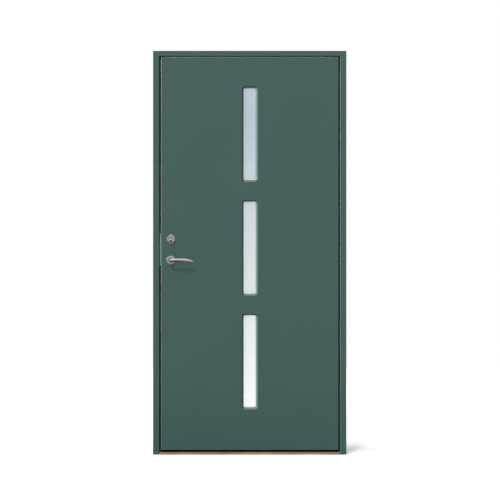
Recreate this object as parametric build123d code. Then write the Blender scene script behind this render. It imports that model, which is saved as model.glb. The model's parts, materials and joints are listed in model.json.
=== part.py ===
# Outward-opening front door with three slot windows, in its frame.
# X runs to the right and Z up as seen from outside, and Y runs into the house.
# The origin is on the underside of the sill, at the middle of its width and of the frame's depth.
# Depths are measured into the house from the frame's outer face.

import os
from math import cos, radians, sin

from build123d import *

os.makedirs("parts", exist_ok=True)

# Frame
FRAME_WIDTH = 996.0
FRAME_HEIGHT = 2080.0
FRAME_DEPTH = 115.0
JAMB_FACE = 33.0
HEAD_FACE = 27.0
STOP_SIDE = 19.0
STOP_TOP = 15.0
STOP_DEPTH = 66.0
FRAME_ARRIS = 3.0

# Leaf
LEAF_LEFT = -457.0
LEAF_RIGHT = 458.0
LEAF_BOTTOM = 24.0
LEAF_TOP = 2049.0
LEAF_THICKNESS = 62.0
SKIN = 6.0
LEAF_ARRIS = 3.5
LOCK_STILE = 92.0
HINGE_STILE = 70.0
TOP_RAIL = 70.0
BOTTOM_RAIL = 100.0

# Slot windows
WINDOW_HEIGHTS = {"top": 1650.5, "middle": 1064.0, "bottom": 478.0}
SLOT_WIDTH, SLOT_HEIGHT, SLOT_CORNER = 84.0, 494.0, 12.0
SIGHT_WIDTH, SIGHT_HEIGHT, SIGHT_CORNER = 64.0, 476.5, 4.5
SIGHT_RISE = 1.75
MOULDING_DEPTH = 8.0
MOULDING_RIM = 1.0
REBATE = 10.0
PANE = 4.0
PANE_EDGE = 2.0
SPACER_WIDTH = 11.0

# Threshold
SILL_NOSE = 15.0
SILL_BACK = 19.0
UPSTAND = 40.0

# Hinges, each measured from its pin
HINGE_HEIGHTS = {"top": 1800.0, "middle": 1050.0, "bottom": 300.0}
PIN_BEHIND_FACE = 14.0
PIN_FROM_LEAF = 22.5
PIN_RADIUS = 5.0
RUNNING = 0.05
KNUCKLE_RADIUS = 8.0
KNUCKLE_HEIGHT = 80.0
ARM = 5.0
ARM_REACH = 22.5
CUP_WALL = 2.0
CUP_EAR = 6.0
CUP_PLATE = 2.5
ARM_PLATE = 3.0

# Lock and handle
HANDLE_X, HANDLE_Z = -406.0, 1001.0
LATCH_Z, LATCH_HEIGHT, LATCH_THROW = 1030.0, 30.0, 14.0
BOLT_Z, BOLT_HEIGHT, BOLT_THROW = 1085.0, 36.0, 20.0
BOLT_THICKNESS = 13.2
BOLT_SETBACK = 0.5
CASE_THICKNESS, CASE_WALL = 17.0, 1.5
CASE_BOTTOM, CASE_TOP, CASE_BACK = 940.0, 1155.0, -376.0
FOREND_THICKNESS, FOREND_WIDTH = 3.0, 22.0
FOREND_BOTTOM, FOREND_TOP = 930.0, 1165.0
NECK_RADIUS = 10.0
SPINDLE = 8.0
ROSETTE_RADIUS, ROSETTE_HEIGHT = 23.25, 9.0
CYLINDER_X, RING_Z, PLUG_Z = -405.5, 1110.0, 1097.5
RING_RADIUS, RING_HEIGHT, RING_BORE = 21.5, 10.0, 18.0
COLLAR_RADIUS, COLLAR_HEIGHT = 12.0, 15.0
TURN_Z = 1105.0
PLUG_RADIUS = 6.5

# Places worked out from the sizes above
FACE = -FRAME_DEPTH / 2
SIDE = FRAME_WIDTH / 2
REVEAL = SIDE - JAMB_FACE
STOP = REVEAL - STOP_SIDE
HEAD_UNDER = FRAME_HEIGHT - HEAD_FACE
STOP_UNDER = HEAD_UNDER - STOP_TOP
CORE_END = LEAF_THICKNESS - SKIN
MIDDLE = LEAF_THICKNESS / 2
PIN_X = LEAF_RIGHT + PIN_FROM_LEAF


def block(x, depth, z):
    """A rectangular block between pairs of limits."""
    return Pos(sum(x) / 2, FACE + sum(depth) / 2, sum(z) / 2) * Box(
        x[1] - x[0], depth[1] - depth[0], z[1] - z[0]
    )


def facing(depth, x=0.0, z=0.0):
    """A plane at a depth that looks out of the house, with X to its right and Z up."""
    return Plane((x, FACE + depth, z), x_dir=(1, 0, 0), z_dir=(0, -1, 0))


def slab(outline, depth, x=0.0, z=0.0):
    """An outline as seen from outside, filled between two depths."""
    return extrude(facing(depth[1], x, z) * outline, depth[1] - depth[0])


def post(outline, x, depth, z):
    """An outline as seen from above, filled between two heights."""
    return extrude(Plane((x, FACE + depth, z[0])) * outline, z[1] - z[0])


def rod(radius, x, depth, z):
    """A round bar along Y."""
    return slab(Circle(radius), depth, x, z)


def edges_along(solid, axis, x=None, depth=None, z=None):
    """The solid's edges along an axis whose middle lies at the given places."""
    y = None if depth is None else FACE + depth
    return [
        edge
        for edge in solid.edges().filter_by(axis)
        if all(
            want is None or abs(have - want) < 0.01
            for want, have in zip((x, y, z), tuple(edge.center()))
        )
    ]


def screw(at, toward, length, shank=2.2, head=4.4):
    """A countersunk screw whose flat head lies at a point and whose shank runs one way."""
    cone = head - shank
    profile = make_face(
        Polyline((0, 0), (head, 0), (shank, cone), (shank, length), (0, length), close=True)
    )
    upright = revolve(Plane.XZ * profile, Axis.Z)
    return Plane(origin=at, z_dir=toward) * upright


def leaf_screw(x, depth, z, toward, length):
    return screw((x, FACE + depth, z), (toward, 0, 0), length)


def save(name, *solids):
    """One STEP file, named after its node."""
    shape = solids[0] if len(solids) == 1 else Compound(children=list(solids))
    export_step(shape, f"parts/{name}.step")


# Hinges: the pin stands in the jamb, and a bent arm carries the leaf round the jamb's arris
def hinge_arm(z):
    knuckle = post(Circle(KNUCKLE_RADIUS), PIN_X, PIN_BEHIND_FACE, (z - 40, z + 40))
    bar_depth = PIN_BEHIND_FACE + ARM_REACH
    half = KNUCKLE_HEIGHT / 2
    neck = block(
        (PIN_X - ARM / 2, PIN_X + ARM / 2), (PIN_BEHIND_FACE, bar_depth + ARM), (z - half, z + half)
    )
    bar = block(
        (LEAF_RIGHT - ARM_PLATE, PIN_X + ARM / 2), (bar_depth, bar_depth + ARM), (z - half, z + half)
    )
    bent = neck + bar
    bent = fillet(edges_along(bent, Axis.Z, x=PIN_X + ARM / 2, depth=bar_depth + ARM), 4)
    bent = fillet(edges_along(bent, Axis.Z, x=PIN_X - ARM / 2, depth=bar_depth), 3)
    plate = block((LEAF_RIGHT - ARM_PLATE, LEAF_RIGHT), (8, 54), (z - 60, z + 60))
    plate = fillet(plate.edges().filter_by(Axis.X), 6)
    bore = post(Circle(PIN_RADIUS + RUNNING), PIN_X, PIN_BEHIND_FACE, (z - 50, z + 50))
    return knuckle + bent + plate - bore


def arm_screws(z):
    return [
        leaf_screw(LEAF_RIGHT, depth, z + rise, -1, 45.0)
        for depth in (16, 46)
        for rise in (-50, 50)
    ]


CUP_FRONT, CUP_REAR = PIN_BEHIND_FACE - 11.0, PIN_BEHIND_FACE + 31.0
CUP_END = PIN_X + 11.5
CAVITY_HALF = KNUCKLE_HEIGHT / 2 + 0.4
CUP_HALF = CAVITY_HALF + CUP_EAR
CUP_PLATE_HALF = 67.0


def hinge_cup(z):
    plate = block(
        (REVEAL, REVEAL + CUP_PLATE), (CUP_FRONT, CUP_REAR), (z - CUP_PLATE_HALF, z + CUP_PLATE_HALF)
    )
    plate = fillet(plate.edges().filter_by(Axis.X), 5)
    box = block((REVEAL, CUP_END), (CUP_FRONT, CUP_REAR), (z - CUP_HALF, z + CUP_HALF))
    cavity = block(
        (REVEAL - 1, CUP_END - CUP_WALL),
        (CUP_FRONT + CUP_WALL, CUP_REAR - CUP_WALL),
        (z - CAVITY_HALF, z + CAVITY_HALF),
    )
    cup = plate + box - cavity
    cup -= post(Circle(PIN_RADIUS), PIN_X, PIN_BEHIND_FACE, (z - CUP_HALF, z + CUP_HALF))
    for cup_screw in cup_screws(z):
        cup -= cup_screw
    return cup


def cup_screws(z):
    return [
        leaf_screw(REVEAL, PIN_BEHIND_FACE + depth, z + rise, 1, 28.0)
        for depth in (0, 20)
        for rise in (-57, 57)
    ]


def cup_mortise(z):
    plate = block(
        (REVEAL - 1, REVEAL + CUP_PLATE),
        (CUP_FRONT, CUP_REAR),
        (z - CUP_PLATE_HALF, z + CUP_PLATE_HALF),
    )
    plate = fillet(plate.edges().filter_by(Axis.X), 5)
    return plate + block((REVEAL, CUP_END), (CUP_FRONT, CUP_REAR), (z - CUP_HALF, z + CUP_HALF))


frame_plate_screws, leaf_plate_screws, pins = [], [], []
for place, height in HINGE_HEIGHTS.items():
    arm = hinge_arm(height)
    for arm_screw in arm_screws(height):
        arm -= arm_screw
    leaf_plate_screws += arm_screws(height)
    frame_plate_screws += cup_screws(height)
    pins.append(
        post(
            Circle(PIN_RADIUS), PIN_X, PIN_BEHIND_FACE, (height - CUP_HALF, height + CUP_HALF)
        )
    )
    save(f"hinge_cup_{place}", hinge_cup(height))
    save(f"hinge_arm_{place}", arm)
save("hinge_pins", *pins)

# Frame seal: a lip against the leaf and a barb in the groove of the stop
SEAL_MIDDLE = STOP + 5.5
SEAL_LIP, SEAL_BARB = 4.5, 1.5
SEAL_FRONT = LEAF_THICKNESS + 0.4
GROOVE_DEPTH = STOP_DEPTH + 6.0
SEAL_TOP = STOP_UNDER + 5.5
SEAL_FOOT = SILL_BACK + 1.0


def seal_arch(half, depth):
    """A band of the seal round both sides and the top, half as wide as given each way."""
    wide, tall = SEAL_MIDDLE + half, SEAL_TOP + half
    outer = block((-wide, wide), depth, (SEAL_FOOT, tall))
    narrow, low = SEAL_MIDDLE - half, SEAL_TOP - half
    return outer - block((-narrow, narrow), (depth[0] - 1, depth[1] + 1), (0, low))


seal_lip = seal_arch(SEAL_LIP, (SEAL_FRONT, STOP_DEPTH))
front_edges = seal_lip.faces().sort_by(Axis.Y)[0].edges()
seal_lip = chamfer([edge for edge in front_edges if edge.length > 50], 1.2)
save("frame_seal", seal_lip + seal_arch(SEAL_BARB, (STOP_DEPTH, GROOVE_DEPTH - 1)))

# Jambs: one rebated section, with a groove for the seal
SLEEVE_HEIGHTS = (170.0, 740.0, 1310.0, 1930.0)
SLEEVE_DEPTH, SLEEVE_RADIUS, SLEEVE_BORE = 40.0, 7.0, 4.25


def jamb(side):
    """The jamb on one side: -1 is the lock side and 1 the hinge side."""
    front = block(sorted((side * REVEAL, side * SIDE)), (0, STOP_DEPTH), (0, HEAD_UNDER))
    back = block(sorted((side * STOP, side * SIDE)), (STOP_DEPTH, FRAME_DEPTH), (0, HEAD_UNDER))
    body = front + back
    body = fillet(edges_along(body, Axis.Z, x=side * REVEAL, depth=0), FRAME_ARRIS)
    body = fillet(edges_along(body, Axis.Z, x=side * SIDE, depth=0), 1.5)
    body = fillet(edges_along(body, Axis.Z, x=side * STOP, depth=FRAME_DEPTH), FRAME_ARRIS)
    groove = sorted((side * (SEAL_MIDDLE - SEAL_BARB), side * (SEAL_MIDDLE + SEAL_BARB)))
    body -= block(groove, (STOP_DEPTH, GROOVE_DEPTH), (SEAL_FOOT, HEAD_UNDER))
    corner = sorted((side * STOP, side * SEAL_MIDDLE))
    body -= block(
        corner, (STOP_DEPTH, GROOVE_DEPTH), (SEAL_TOP - SEAL_BARB, SEAL_TOP + SEAL_BARB)
    )
    for height in SLEEVE_HEIGHTS:
        body -= sleeve_bar(side, height, SLEEVE_RADIUS)
    return body


def sleeve_bar(side, height, radius):
    return Plane((side * REVEAL, FACE + SLEEVE_DEPTH, height), z_dir=(side, 0, 0)) * extrude(
        Circle(radius), JAMB_FACE
    )


hinge_jamb = jamb(1)
for height in HINGE_HEIGHTS.values():
    hinge_jamb -= cup_mortise(height)

STRIKE = (REVEAL * -1 - 2.5, REVEAL * -1)
STRIKE_DEPTH = (15.0, 47.0)
STRIKE_REACH = (958.0, 1154.0)
POCKET_END = -REVEAL - 16.0
POCKET_DEPTH = (MIDDLE - BOLT_THICKNESS / 2 - 1.5, MIDDLE + BOLT_THICKNESS / 2 + 1.5)
pockets = [
    block((POCKET_END, -REVEAL + 1), POCKET_DEPTH, (z - tall / 2 - 2, z + tall / 2 + 2))
    for z, tall in ((LATCH_Z, LATCH_HEIGHT), (BOLT_Z, BOLT_HEIGHT))
]
strike = block(STRIKE, STRIKE_DEPTH, STRIKE_REACH)
strike = fillet(strike.edges().filter_by(Axis.X), 5)
lock_jamb = jamb(-1) - strike
strike_screws = [
    leaf_screw(-REVEAL, MIDDLE, height, -1, 28.0)
    for height in (STRIKE_REACH[0] + 12, (LATCH_Z + BOLT_Z) / 2 - 2, STRIKE_REACH[1] - 12)
]
for pocket in pockets:
    lock_jamb -= pocket
    strike -= pocket
for strike_screw in strike_screws:
    strike -= strike_screw
save("strike_plate", strike)
save("jamb_lock_side", lock_jamb)
save("jamb_hinge_side", hinge_jamb)
save("frame_plate_screws", *frame_plate_screws, *strike_screws)

sleeves = [
    sleeve_bar(side, height, SLEEVE_RADIUS) - sleeve_bar(side, height, SLEEVE_BORE)
    for side in (-1, 1)
    for height in SLEEVE_HEIGHTS
]
save("frame_sleeves", *sleeves)

# Head: it runs over the ends of both jambs, and its stop fits between theirs
head = block((-SIDE, SIDE), (0, FRAME_DEPTH), (HEAD_UNDER, FRAME_HEIGHT))
head = fillet(edges_along(head, Axis.X, depth=0, z=HEAD_UNDER), 1.0)
head = fillet(edges_along(head, Axis.X, depth=0, z=FRAME_HEIGHT), 1.5)
head_stop = block((-STOP, STOP), (STOP_DEPTH, FRAME_DEPTH), (STOP_UNDER, HEAD_UNDER))
head_stop = fillet(edges_along(head_stop, Axis.X, depth=FRAME_DEPTH, z=STOP_UNDER), FRAME_ARRIS)
head += head_stop
head -= block(
    (-STOP, STOP),
    (STOP_DEPTH, GROOVE_DEPTH),
    (SEAL_TOP - SEAL_BARB, SEAL_TOP + SEAL_BARB),
)
save("head", head)

# Threshold: oak, sloped to shed rain, with an upstand behind the leaf
nose = Polyline(
    (FACE, 0),
    (FACE, SILL_NOSE - 1.5),
    (FACE + 1.5, SILL_NOSE),
    (FACE + STOP_DEPTH, SILL_BACK),
    (FACE + STOP_DEPTH, 0),
    close=True,
)
upstand = Polyline(
    (FACE + STOP_DEPTH, 0),
    (FACE + STOP_DEPTH, UPSTAND - 2),
    (FACE + STOP_DEPTH + 2, UPSTAND),
    (FACE + 92, UPSTAND),
    (FACE + FRAME_DEPTH, UPSTAND - 12),
    (FACE + FRAME_DEPTH, 0),
    close=True,
)
threshold = extrude(Plane.YZ.offset(-REVEAL) * make_face(nose), 2 * REVEAL)
threshold += extrude(Plane.YZ.offset(-STOP) * make_face(upstand), 2 * STOP)
SILL_SEAL_Z = 31.0
threshold -= block(
    (-STOP, STOP),
    (STOP_DEPTH, GROOVE_DEPTH),
    (SILL_SEAL_Z - SEAL_BARB, SILL_SEAL_Z + SEAL_BARB),
)
save("threshold", threshold)

INSIDE_LEGS = SEAL_MIDDLE - SEAL_LIP - 0.2
sill_lip = block(
    (-INSIDE_LEGS, INSIDE_LEGS),
    (SEAL_FRONT, STOP_DEPTH),
    (SILL_SEAL_Z - SEAL_LIP, SILL_SEAL_Z + SEAL_LIP),
)
sill_front = sill_lip.faces().sort_by(Axis.Y)[0].edges()
sill_lip = chamfer([edge for edge in sill_front if edge.length > 50], 1.2)
sill_barb = block(
    (-STOP + 0.2, STOP - 0.2),
    (STOP_DEPTH, GROOVE_DEPTH - 1),
    (SILL_SEAL_Z - SEAL_BARB, SILL_SEAL_Z + SEAL_BARB),
)
save("threshold_seal", sill_lip + sill_barb)

# Screws that join the corners of the frame
joint_screws = [
    screw((side * (SIDE - JAMB_FACE / 2), FACE + depth, FRAME_HEIGHT), (0, 0, -1), 90.0, 2.5, 5.0)
    for side in (-1, 1)
    for depth in (22, 92)
]
joint_screws += [
    screw((side * SIDE, FACE + depth, z), (-side, 0, 0), 90.0, 2.5, 5.0)
    for side in (-1, 1)
    for depth, z in ((24, 8), (92, 18))
]
save("frame_joint_screws", *joint_screws)

# Leaf: two skins on a timber frame with insulation between
slot = RectangleRounded(SLOT_WIDTH, SLOT_HEIGHT, SLOT_CORNER)
flange = RectangleRounded(SLOT_WIDTH + 2 * REBATE, SLOT_HEIGHT + 2 * REBATE, 2)
OVAL_Z, OVAL_HEIGHT, OVAL_WIDTH = 1104.0, 31.0, 20.0


def oval(clearance, depth):
    """The upright oval of the lock cylinder, filled between two depths."""
    outline = Rot(0, 0, 90) * SlotOverall(OVAL_HEIGHT + 2 * clearance, OVAL_WIDTH + 2 * clearance)
    return slab(outline, depth, CYLINDER_X, OVAL_Z)


BOLT_SPACING = 19.0
rosette_bolt_places = [HANDLE_X - BOLT_SPACING, HANDLE_X + BOLT_SPACING]
handle_holes = [rod(11.0, HANDLE_X, (-1, LEAF_THICKNESS + 1), HANDLE_Z)]
handle_holes += [rod(3.0, x, (-1, LEAF_THICKNESS + 1), HANDLE_Z) for x in rosette_bolt_places]
handle_holes.append(oval(0.5, (-1, LEAF_THICKNESS + 1)))


def skin(depth, arris_depth):
    """One face sheet with its slots, its rounded rim and the holes for the handle and cylinder."""
    sheet = block((LEAF_LEFT, LEAF_RIGHT), depth, (LEAF_BOTTOM, LEAF_TOP))
    sheet = fillet(
        edges_along(sheet, Axis.X, depth=arris_depth) + edges_along(sheet, Axis.Z, depth=arris_depth),
        LEAF_ARRIS,
    )
    for height in WINDOW_HEIGHTS.values():
        sheet -= slab(slot, (-1, LEAF_THICKNESS + 1), 0, height)
    for hole in handle_holes:
        sheet -= hole
    return sheet


save("outer_skin", skin((0, SKIN), 0))
save("inner_skin", skin((CORE_END, LEAF_THICKNESS), LEAF_THICKNESS))

stile_inner = LEAF_LEFT + LOCK_STILE
stile_outer = LEAF_RIGHT - HINGE_STILE
core_depth = (SKIN, CORE_END)
lock_stile = block((LEAF_LEFT, stile_inner), core_depth, (LEAF_BOTTOM, LEAF_TOP))
CASE_DEPTH = (MIDDLE - CASE_THICKNESS / 2, MIDDLE + CASE_THICKNESS / 2)
FOREND_DEPTH = (MIDDLE - FOREND_WIDTH / 2, MIDDLE + FOREND_WIDTH / 2)
FOREND_BACK = LEAF_LEFT + FOREND_THICKNESS
lock_stile -= block((FOREND_BACK, CASE_BACK), CASE_DEPTH, (CASE_BOTTOM, CASE_TOP))
lock_stile -= block((LEAF_LEFT, FOREND_BACK), FOREND_DEPTH, (FOREND_BOTTOM, FOREND_TOP))
for hole in handle_holes:
    lock_stile -= hole
save("stile_lock_side", lock_stile)

hinge_stile = block((stile_outer, LEAF_RIGHT), core_depth, (LEAF_BOTTOM, LEAF_TOP))
for height in HINGE_HEIGHTS.values():
    bed = block((LEAF_RIGHT - ARM_PLATE, LEAF_RIGHT), (8, 54), (height - 60, height + 60))
    hinge_stile -= fillet(bed.edges().filter_by(Axis.X), 6)
save("stile_hinge_side", hinge_stile)

top_rail_under = LEAF_TOP - TOP_RAIL
bottom_rail_top = LEAF_BOTTOM + BOTTOM_RAIL
save("rail_top", block((stile_inner, stile_outer), core_depth, (top_rail_under, LEAF_TOP)))
save("rail_bottom", block((stile_inner, stile_outer), core_depth, (LEAF_BOTTOM, bottom_rail_top)))
core = block((stile_inner, stile_outer), core_depth, (bottom_rail_top, top_rail_under))
for height in WINDOW_HEIGHTS.values():
    core -= slab(flange, (0, LEAF_THICKNESS), 0, height)
save("insulation_core", core)


# Windows: a sloped moulding on each face holds a sealed unit of three panes
def moulding(height, inside):
    """The ring that fills the slot's edge and slopes from the leaf's face to the glass."""
    rim = slab(slot, (0, SKIN), 0, height)
    ring = rim + slab(flange, (SKIN, MOULDING_DEPTH), 0, height)
    wide = RectangleRounded(
        SLOT_WIDTH - 2 * MOULDING_RIM, SLOT_HEIGHT - 2 * MOULDING_RIM, SLOT_CORNER - MOULDING_RIM
    )
    narrow = RectangleRounded(SIGHT_WIDTH, SIGHT_HEIGHT, SIGHT_CORNER)
    ring -= loft([facing(0, 0, height) * wide, facing(MOULDING_DEPTH, 0, height + SIGHT_RISE) * narrow])
    return mirror(ring, Plane.XZ.offset(-(FACE + MIDDLE))) if inside else ring


def pane(height, depth):
    edge = 2 * (REBATE - PANE_EDGE)
    return slab(Rectangle(SLOT_WIDTH + edge, SLOT_HEIGHT + edge), (depth, depth + PANE), 0, height)


def spacer(height, depth):
    wide, tall = SLOT_WIDTH + 2 * REBATE - 6, SLOT_HEIGHT + 2 * REBATE - 6
    ring = Rectangle(wide, tall) - Rectangle(wide - 2 * SPACER_WIDTH, tall - 2 * SPACER_WIDTH)
    return slab(ring, depth, 0, height)


outer_pane_depth = MOULDING_DEPTH
inner_pane_depth = LEAF_THICKNESS - MOULDING_DEPTH - PANE
middle_pane_depth = MIDDLE - PANE / 2
for place, height in WINDOW_HEIGHTS.items():
    save(f"outer_moulding_{place}", moulding(height, False))
    save(f"inner_moulding_{place}", moulding(height, True))
    save(f"outer_pane_{place}", pane(height, outer_pane_depth))
    save(f"middle_pane_{place}", pane(height, middle_pane_depth))
    save(f"inner_pane_{place}", pane(height, inner_pane_depth))
    save(
        f"spacers_{place}",
        spacer(height, (outer_pane_depth + PANE, middle_pane_depth)),
        spacer(height, (middle_pane_depth + PANE, inner_pane_depth)),
    )

# Lock case: a thin steel box in the stile, open on the leaf's edge for the two bolts
case = block((FOREND_BACK, CASE_BACK), CASE_DEPTH, (CASE_BOTTOM, CASE_TOP))
case -= block(
    (FOREND_BACK - 1, CASE_BACK - CASE_WALL),
    (CASE_DEPTH[0] + CASE_WALL, CASE_DEPTH[1] - CASE_WALL),
    (CASE_BOTTOM + CASE_WALL, CASE_TOP - CASE_WALL),
)
HUB_RADIUS, HUB_JOURNAL = 12.0, 8.0
TAIL_HOLE = 6.0
case -= rod(HUB_JOURNAL + RUNNING, HANDLE_X, CASE_DEPTH, HANDLE_Z)
case -= rod(TAIL_HOLE, CYLINDER_X, CASE_DEPTH, PLUG_Z)
for x in rosette_bolt_places:
    case -= rod(3.0, x, CASE_DEPTH, HANDLE_Z)
save("lock_case", case)

forend = block((LEAF_LEFT, FOREND_BACK), FOREND_DEPTH, (FOREND_BOTTOM, FOREND_TOP))
for z, tall in ((LATCH_Z, LATCH_HEIGHT), (BOLT_Z, BOLT_HEIGHT)):
    window = (MIDDLE - BOLT_THICKNESS / 2 - 0.4, MIDDLE + BOLT_THICKNESS / 2 + 0.4)
    forend -= block(
        (LEAF_LEFT - 1, FOREND_BACK + 1), window, (z - tall / 2 - 0.4, z + tall / 2 + 0.4)
    )
forend_screws = [
    leaf_screw(LEAF_LEFT, MIDDLE, z, 1, 30.0) for z in (FOREND_BOTTOM + 5, FOREND_TOP - 5)
]
for forend_screw in forend_screws:
    forend -= forend_screw
save("forend", forend)

# Latch guard: a painted steel strip on the leaf's edge, which closes most of the gap there
GUARD_LEFT, GUARD_DEPTH, GUARD_Z = LEAF_LEFT - 5.0, (0.5, 17.0), (975.0, 1137.0)
guard = block((GUARD_LEFT, LEAF_LEFT), GUARD_DEPTH, GUARD_Z)
guard = fillet(edges_along(guard, Axis.Z, x=GUARD_LEFT, depth=GUARD_DEPTH[0]), 2.5)
guard_screws = [
    leaf_screw(GUARD_LEFT, 10.5, z, 1, 34.0) for z in (GUARD_Z[0] + 15, GUARD_Z[1] - 15)
]
for guard_screw in guard_screws:
    guard -= guard_screw
save("latch_guard", guard)
save("leaf_plate_screws", *leaf_plate_screws, *forend_screws, *guard_screws)

# Latch and deadbolt, both drawn back into the leaf at rest
bolt_depth = (MIDDLE - BOLT_THICKNESS / 2, MIDDLE + BOLT_THICKNESS / 2)
tip = LEAF_LEFT + BOLT_SETBACK
latch = block((tip, -436), bolt_depth, (LATCH_Z - LATCH_HEIGHT / 2, LATCH_Z + LATCH_HEIGHT / 2))
latch = chamfer(edges_along(latch, Axis.Z, x=tip, depth=bolt_depth[1]), 11.0, 8.5)
latch += block((-436, -392), (MIDDLE - 3, MIDDLE + 3), (LATCH_Z - 3, LATCH_Z + 3))
save("latch_bolt", latch)
deadbolt = block((tip, -421), bolt_depth, (BOLT_Z - BOLT_HEIGHT / 2, BOLT_Z + BOLT_HEIGHT / 2))
deadbolt = fillet(deadbolt.edges().filter_by(Axis.X), 2.5)
save("deadbolt", deadbolt)

# Handle: levers on both faces, joined by a square spindle through the follower
LEVER_PATH = (
    # reach, stand-off, turn in degrees, top edge, bottom edge, half thickness
    (0.0, 28.0, 0, 9.7, -9.7, 9.5),
    (1.0, 38.0, 14, 9.6, -9.6, 9.2),
    (4.5, 46.0, 40, 9.4, -9.2, 8.6),
    (11.5, 51.0, 68, 8.8, -8.4, 7.6),
    (22.0, 53.0, 88, 8.3, -7.7, 6.6),
    (43.0, 53.2, 90, 8.2, -7.7, 6.0),
    (62.0, 53.0, 91, 8.2, -10.4, 5.8),
    (80.0, 52.4, 92, 8.0, -13.8, 5.6),
    (95.0, 51.6, 94, 4.6, -14.2, 5.2),
    (107.0, 50.6, 95, 0.4, -13.2, 4.4),
    (114.5, 49.9, 96, -2.6, -11.0, 3.4),
    (118.5, 49.5, 96, -4.8, -7.6, 1.2),
)
STAND_OFF_START = 1.0


def lever_outer():
    sections = []
    for reach, stand_off, turn, top, bottom, half in LEVER_PATH:
        turn = radians(turn)
        plane = Plane(
            (HANDLE_X + reach, FACE - stand_off, HANDLE_Z + (top + bottom) / 2),
            x_dir=(cos(turn), sin(turn), 0),
            z_dir=(sin(turn), -cos(turn), 0),
        )
        sections.append(plane * Ellipse(half, (top - bottom) / 2))
    grip = loft(sections)
    neck = rod(NECK_RADIUS, HANDLE_X, (-30.0, -STAND_OFF_START), HANDLE_Z)
    socket = slab(Rectangle(SPINDLE, SPINDLE), (-34.0, 0), HANDLE_X, HANDLE_Z)
    return neck + grip - socket


def to_inside(shape):
    """The same piece on the leaf's inner face."""
    return mirror(shape, Plane.XZ.offset(-(FACE + MIDDLE)))


outer_lever = lever_outer()
save("lever_outer", outer_lever)
save("lever_inner", to_inside(outer_lever))
save(
    "spindle",
    slab(Rectangle(SPINDLE, SPINDLE), (-33.5, LEAF_THICKNESS + 33.5), HANDLE_X, HANDLE_Z),
)

follower = rod(HUB_RADIUS, HANDLE_X, (MIDDLE - 5.5, MIDDLE + 5.5), HANDLE_Z)
follower += block((HANDLE_X - 3.5, HANDLE_X + 3.5), (MIDDLE - 3, MIDDLE + 3), (HANDLE_Z, HANDLE_Z + 20))
follower += rod(HUB_JOURNAL, HANDLE_X, (CASE_DEPTH[0] - 1, CASE_DEPTH[1] + 1), HANDLE_Z)
follower -= slab(Rectangle(SPINDLE, SPINDLE), (0, LEAF_THICKNESS), HANDLE_X, HANDLE_Z)
save("follower", follower)


def disc(radius, height, slope, x, z):
    """A turned disc on the leaf's outer face, with a sloped rim."""
    body = rod(radius, x, (-height, 0), z)
    return chamfer(body.faces().sort_by(Axis.Y)[0].edges(), slope)


rosette_bolts = [rod(2.5, x, (-5, LEAF_THICKNESS + 5), HANDLE_Z) for x in rosette_bolt_places]
rosette = disc(ROSETTE_RADIUS, ROSETTE_HEIGHT, 2.5, HANDLE_X, HANDLE_Z)
rosette -= rod(NECK_RADIUS + RUNNING, HANDLE_X, (-ROSETTE_HEIGHT - 1, 1), HANDLE_Z)
for rosette_bolt in rosette_bolts:
    rosette -= rosette_bolt
save("outer_rosette", rosette)
save("inner_rosette", to_inside(rosette))
save("rosette_bolts", *rosette_bolts)

# Lock cylinder: a ring and the cylinder's face outside, a thumbturn inside
collar = rod(COLLAR_RADIUS, CYLINDER_X, (-COLLAR_HEIGHT, 0), PLUG_Z)
collar = chamfer(collar.faces().sort_by(Axis.Y)[0].edges(), 1.2)
ring = disc(RING_RADIUS, RING_HEIGHT, 3.0, CYLINDER_X, RING_Z)
ring -= rod(RING_BORE, CYLINDER_X, (-RING_HEIGHT - 1, 1), RING_Z)
ring -= rod(COLLAR_RADIUS, CYLINDER_X, (-RING_HEIGHT - 1, 1), PLUG_Z)
save("cylinder_ring", ring)

cylinder = rod(RING_BORE, CYLINDER_X, (-RING_HEIGHT + 2, 0), RING_Z) + collar
cylinder += oval(0, (0, CASE_DEPTH[0] - 0.2))
plug_bore = rod(PLUG_RADIUS + RUNNING, CYLINDER_X, (-COLLAR_HEIGHT - 1, CASE_DEPTH[0]), PLUG_Z)
save("cylinder_body", cylinder - plug_bore)

plug = rod(PLUG_RADIUS, CYLINDER_X, (-COLLAR_HEIGHT + 0.5, CASE_DEPTH[0] - 0.5), PLUG_Z)
keyway = Rectangle(2.2, 8.6) + Pos(1.2, -1.6) * Rectangle(1.6, 1.6)
plug -= slab(keyway, (-COLLAR_HEIGHT, 14.0), CYLINDER_X, PLUG_Z)
TAIL = Rectangle(2.0, 8.0)
plug += slab(TAIL, (CASE_DEPTH[0] - 0.5, MIDDLE - 0.5), CYLINDER_X, PLUG_Z)
save("cylinder_plug", plug)

turn_plate = disc(RING_RADIUS, RING_HEIGHT, 3.0, CYLINDER_X, TURN_Z)
turn_plate += oval(0, (0, CASE_DEPTH[0] - 0.2))
TURN_SHAFT = 6.0
turn_plate -= rod(TURN_SHAFT + RUNNING, CYLINDER_X, (-RING_HEIGHT - 1, CASE_DEPTH[0]), PLUG_Z)
save("turn_rosette", to_inside(turn_plate))

thumbturn = rod(TURN_SHAFT, CYLINDER_X, (-RING_HEIGHT - 2, CASE_DEPTH[0] - 0.5), PLUG_Z)
thumbturn += slab(TAIL, (CASE_DEPTH[0] - 0.5, MIDDLE - 0.5), CYLINDER_X, PLUG_Z)
grip = slab(RectangleRounded(9.0, 36.0, 4.0), (-RING_HEIGHT - 18, -RING_HEIGHT - 1.0), CYLINDER_X, PLUG_Z)
grip = fillet(grip.faces().sort_by(Axis.Y)[0].edges(), 2.5)
thumbturn += grip
save("thumbturn", to_inside(thumbturn))
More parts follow.
